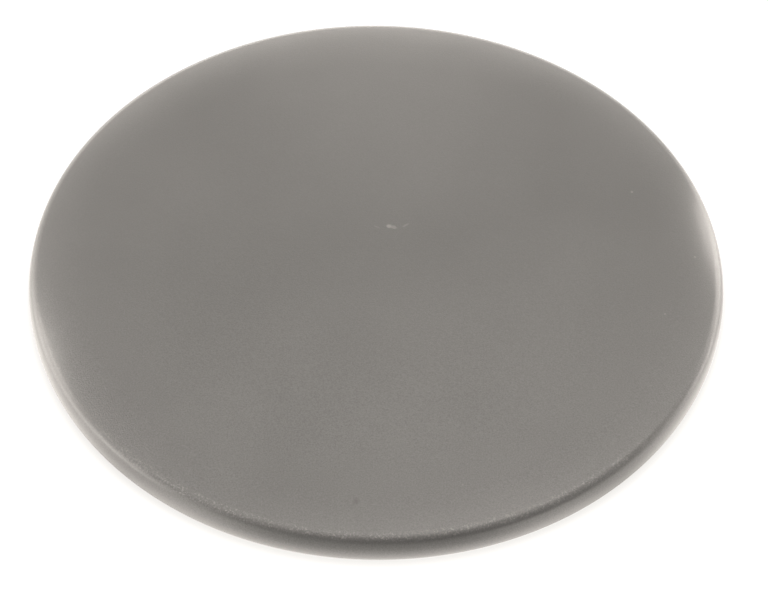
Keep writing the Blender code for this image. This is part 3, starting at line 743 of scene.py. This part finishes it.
forms = {}
for side, deg, out in CATCHES:
    turn = Matrix.Rotation(radians(deg), 4, "Z")

    def piece(kind, build, mats, body, smooth, weighted):
        name = kind + "_" + side
        if kind not in forms:
            ob = new_object(name, build(), mats, body, smooth, turn, weighted)
            forms[kind] = ob.data
            return ob
        return place(name, forms[kind], body, turn, weighted)

    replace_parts(piece("housing", housing_mesh, [NYLON], "lid", 35, True), "catch_body_" + side)
    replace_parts(piece("snap_bolt", bolt_mesh, [ACETAL], "bolt_" + side, 35, True), "catch_bolt_" + side)
    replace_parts(piece("closing_plate", plate_mesh, [PLATE], "lid", 35, True), "catch_plate_" + side)
    coil = piece("coil", spring_mesh, [WIRE], "lid", 60, False)
    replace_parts(coil, "catch_spring_" + side)
    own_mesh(coil)
    for k, s in enumerate((1, -1)):
        at = turn @ Matrix.Translation((EAR_SCREW[0] * MM, s * EAR_SCREW[1] * MM, 0)) @ Matrix.Rotation(radians(23 + 41 * k + deg), 4, "Z")
        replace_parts(place("ear_fixing_%s_%d" % (side, k + 1), ear_screw, "lid", at), "ear_screw_%s_%d" % (side, k + 1))
        at = turn @ Matrix.Translation((PLATE_SCREW[0] * MM, s * PLATE_SCREW[1] * MM, 0)) @ Matrix.Rotation(radians(11 + 29 * k + deg), 4, "Z")
        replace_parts(place("plate_fixing_%s_%d" % (side, k + 1), plate_screw, "lid", at), "plate_screw_%s_%d" % (side, k + 1))


# ---------------------------------------------------------------------- stage
WARM = rgb(1.0, 0.945, 0.885)


def disc(name, mat, z):
    """Wide ring round the foot of the lid, open under it."""
    bm = bmesh.new()
    n = 144
    rings = [[bm.verts.new((r * cos(2 * pi * k / n), r * sin(2 * pi * k / n), 0.0)) for k in range(n)]
             for r in (0.3161, 0.6, 1.5, 4.0, 12.0)]
    for a, b in zip(rings, rings[1:]):
        for k in range(n):
            j = (k + 1) % n
            bm.faces.new((a[k], b[k], b[j], a[j]))
    me = bpy.data.meshes.new(name)
    bm.normal_update()
    bm.to_mesh(me)
    bm.free()
    me.materials.append(mat)
    ob = bpy.data.objects.new(name, me)
    scene.collection.objects.link(ob)
    ob.location.z = z
    return ob


def floor():
    """Plain white light table, a little dimmer and creamier close to the foot as a painted shadow, clear from below."""
    t = Tree("studio_floor")
    dirt = t.noise(3.0, 3.0, 0.5)
    t.finish(t.mix(dirt, rgb(0.026, 0.026, 0.026), rgb(0.034, 0.034, 0.034)), 0.85, spec=0.0)
    x, y, z = t.xyz()
    r = t.math("SQRT", t.math("ADD", t.math("MULTIPLY", x, x), t.math("MULTIPLY", y, y)))
    # painted contact shadow: the glow is dimmer and creamier close to the foot, by distance from the axis
    painted_shadow_fade = t.ramp(r, 0.3195, 0.3345)
    t.put(t.bsdf.inputs["Emission Color"], t.mix(t.ramp(r, 0.322, 0.345), rgb(1.0, 0.980, 0.950), rgb(1.0, 1.0, 1.0)))
    t.put(t.bsdf.inputs["Emission Strength"], t.math("MULTIPLY_ADD", painted_shadow_fade, 0.22, 0.84))
    clear = t.node("ShaderNodeBsdfTransparent")
    back = t.node("ShaderNodeNewGeometry").outputs["Backfacing"]
    mixer = t.node("ShaderNodeMixShader")
    t.put(mixer.inputs[0], back)
    t.t.links.new(t.bsdf.outputs[0], mixer.inputs[1])
    t.t.links.new(clear.outputs[0], mixer.inputs[2])
    t.t.links.new(mixer.outputs[0], t.out.inputs["Surface"])
    ob = disc("studio_floor", t.mat, -0.0004)
    ob.visible_diffuse = ob.visible_glossy = ob.visible_transmission = ob.visible_shadow = ob.visible_volume_scatter = False


def bounce():
    """Glowing card on the table that lights the rim from below; it falls off to dark in front."""
    t = Tree("studio_bounce")
    x, y, z = t.xyz()
    r = t.math("SQRT", t.math("ADD", t.math("MULTIPLY", x, x), t.math("MULTIPLY", y, y)))
    ahead = t.math("DIVIDE", t.math("MULTIPLY", y, -1.0), r)
    front = t.ramp(ahead, cos(radians(34)), cos(radians(9)))
    flank = t.math("MULTIPLY", t.ramp(ahead, cos(radians(46)), cos(radians(32))), t.ramp(ahead, cos(radians(14)), cos(radians(30))))
    near = t.ramp(r, 0.372, 0.326)
    lift = t.math("MULTIPLY_ADD", near, 1.9, -0.95)
    glow = t.math("MULTIPLY_ADD", front, lift, 2.2)
    glow = t.math("ADD", glow, t.math("MULTIPLY", flank, 0.75))
    side = t.math("MULTIPLY", t.ramp(ahead, cos(radians(90)), cos(radians(74))), t.ramp(ahead, cos(radians(42)), cos(radians(60))))
    glow = t.math("ADD", glow, t.math("MULTIPLY", side, 0.85))
    glow = t.math("MULTIPLY", glow, t.ramp(r, 0.3175, 0.3360, t.math("MULTIPLY_ADD", front, 0.24, 0.42), 1.0))
    t.finish(rgb(0.06, 0.06, 0.06), 0.9, spec=0.0)
    t.bsdf.inputs["Emission Color"].default_value = WARM
    t.put(t.bsdf.inputs["Emission Strength"], glow)
    ob = disc("studio_bounce", t.mat, -0.0002)
    ob.visible_camera = False


def backdrop():
    """White paper all round, seen behind the object and casting nothing."""
    t = Tree("studio_backdrop")
    t.bsdf.inputs["Base Color"].default_value = rgb(0.8, 0.8, 0.8)
    t.bsdf.inputs["Emission Color"].default_value = rgb(1.0, 1.0, 1.0)
    t.bsdf.inputs["Emission Strength"].default_value = 1.2
    bm = bmesh.new()
    bmesh.ops.create_icosphere(bm, subdivisions=4, radius=13.0)
    me = bpy.data.meshes.new("studio_backdrop")
    bm.to_mesh(me)
    bm.free()
    me.materials.append(t.mat)
    ob = bpy.data.objects.new("studio_backdrop", me)
    scene.collection.objects.link(ob)
    ob.visible_diffuse = ob.visible_glossy = ob.visible_transmission = ob.visible_shadow = ob.visible_volume_scatter = False


def studio_light():
    """Soft light from above, a broad soft light low on each side and one low behind; dark towards the camera."""
    w = bpy.data.worlds.new("studio_light")
    scene.world = w
    w.use_nodes = True
    nt = w.node_tree
    nt.nodes.clear()
    out = nt.nodes.new("ShaderNodeOutputWorld")
    bg = nt.nodes.new("ShaderNodeBackground")
    nt.links.new(bg.outputs[0], out.inputs[0])
    co = nt.nodes.new("ShaderNodeTexCoord").outputs["Generated"]
    sep = nt.nodes.new("ShaderNodeSeparateXYZ")
    nt.links.new(co, sep.inputs[0])
    x, y, z = sep.outputs

    def put(s, v):
        if isinstance(v, bpy.types.NodeSocket):
            nt.links.new(v, s)
        else:
            s.default_value = v

    def math(op, a, b=0.0):
        n = nt.nodes.new("ShaderNodeMath")
        n.operation = op
        put(n.inputs[0], a)
        put(n.inputs[1], b)
        return n.outputs[0]

    def ramp(v, lo, hi, a=0.0, b=1.0):
        n = nt.nodes.new("ShaderNodeMapRange")
        n.interpolation_type = "SMOOTHSTEP"
        put(n.inputs["Value"], v)
        for k, q in (("From Min", lo), ("From Max", hi), ("To Min", a), ("To Max", b)):
            n.inputs[k].default_value = q
        return n.outputs[0]

    flat = math("SQRT", math("MAXIMUM", math("ADD", math("MULTIPLY", x, x), math("MULTIPLY", y, y)), 1e-9))

    def bearing(deg, half):
        a = radians(deg)
        c = math("DIVIDE", math("ADD", math("MULTIPLY", x, cos(a)), math("MULTIPLY", y, sin(a))), flat)
        return ramp(c, cos(radians(half)), 1.0)

    def cap(deg, elev, half, gain):
        """Round soft light of a given half angle."""
        a, e = radians(deg), radians(elev)
        c = math("ADD", math("ADD", math("MULTIPLY", x, cos(e) * cos(a)), math("MULTIPLY", y, cos(e) * sin(a))), math("MULTIPLY", z, sin(e)))
        return ramp(c, cos(radians(half)), 1.0, 0.0, gain)

    above = ramp(z, -0.004, 0.004)
    total = 0.0
    for deg, half, top, gain in ((28.4, 31.9, 0.30, 21.5), (176.2, 51.8, 0.829, 10.8), (95.4, 36.5, 0.693, 7.1)):
        total = math("ADD", total, math("MULTIPLY", bearing(deg, half), ramp(z, top, 0.0, 0.0, gain)))
    for deg, elev, half, gain in ((52.0, 75.0, 12.0, 18.9), (350.0, 70.0, 12.0, 5.8), (47.5, 26.8, 16.8, 12.4),
                                  (141.1, 47.4, 12.0, 15.4), (200.0, 70.9, 21.1, 4.0), (345.0, 44.0, 37.0, 0.9)):
        total = math("ADD", total, cap(deg, elev, half, gain))
    total = math("MULTIPLY", total, above)
    # soft light from below, for the underside
    lean = math("ADD", math("ADD", math("MULTIPLY", x, -0.45), math("MULTIPLY", y, 0.35)), math("MULTIPLY", z, -0.82))
    under = math("ADD", ramp(lean, 0.10, 1.0, 0.0, 1.05), 0.75)
    total = math("ADD", total, math("MULTIPLY", under, math("SUBTRACT", 1.0, above)))
    put(bg.inputs["Strength"], total)
    bg.inputs["Color"].default_value = WARM


def soft_box(name, at, aim, along, wide, high, watts):
    """Small soft light close to the lid."""
    la = bpy.data.lights.new(name, "AREA")
    la.shape = "ELLIPSE"
    la.size, la.size_y = wide, high
    la.energy = watts
    la.color = WARM[:3]
    ob = bpy.data.objects.new(name, la)
    scene.collection.objects.link(ob)
    k = (Vector(at) - Vector(aim)).normalized()
    i = Vector(along)
    i = (i - k * i.dot(k)).normalized()
    j = k.cross(i)
    ob.matrix_world = Matrix(((i.x, j.x, k.x, at[0]), (i.y, j.y, k.y, at[1]), (i.z, j.z, k.z, at[2]), (0, 0, 0, 1)))
    ob.visible_camera = False


floor()
bounce()
backdrop()
studio_light()
soft_box("soft_box_right", (0.3275, 0.054, 0.051), (0.3275, 0.054, 0.0), (-0.163, 0.987, 0.0), 0.13, 0.020, 0.034)
soft_box("soft_box_left", (-0.3145, -0.106, 0.055), (-0.3145, -0.106, 0.0), (0.319, -0.948, 0.0), 0.13, 0.024, 0.027)
soft_box("soft_box_back", (0.0, 0.470, 0.230), (0.0, 0.270, 0.034), (1.0, 0.0, 0.0), 0.27, 0.11, 0.120)

# --------------------------------------------------------------------- camera
R = LID_R * MM
FOCAL_PX, DIST, ELEV, ROLL, AIM_X, AIM_Y = 3000.0, 8.6644, radians(49.040), radians(0.909), 0.02299, -0.05999
back = Vector((0, -cos(ELEV), sin(ELEV)))
right = Vector((1, 0, 0))
up = back.cross(right)
r2 = right * cos(ROLL) + up * sin(ROLL)
u2 = -right * sin(ROLL) + up * cos(ROLL)
eye = Vector((AIM_X, AIM_Y, 0)) * R + back * DIST * R
cam_data = bpy.data.cameras.new("camera")
cam_data.sensor_fit = "HORIZONTAL"
cam_data.sensor_width = 36.0
cam_data.lens = FOCAL_PX / 768 * 36.0
cam_data.clip_start = 0.01
cam_data.clip_end = 100.0
cam = bpy.data.objects.new("camera", cam_data)
cam.matrix_world = Matrix(((r2.x, u2.x, back.x, eye.x), (r2.y, u2.y, back.y, eye.y), (r2.z, u2.z, back.z, eye.z), (0, 0, 0, 1)))
scene.collection.objects.link(cam)
scene.camera = cam
scene.view_settings.view_transform = "Standard"
scene.view_settings.look = "None"
scene.view_settings.exposure = 0.0
scene.view_settings.gamma = 1.0
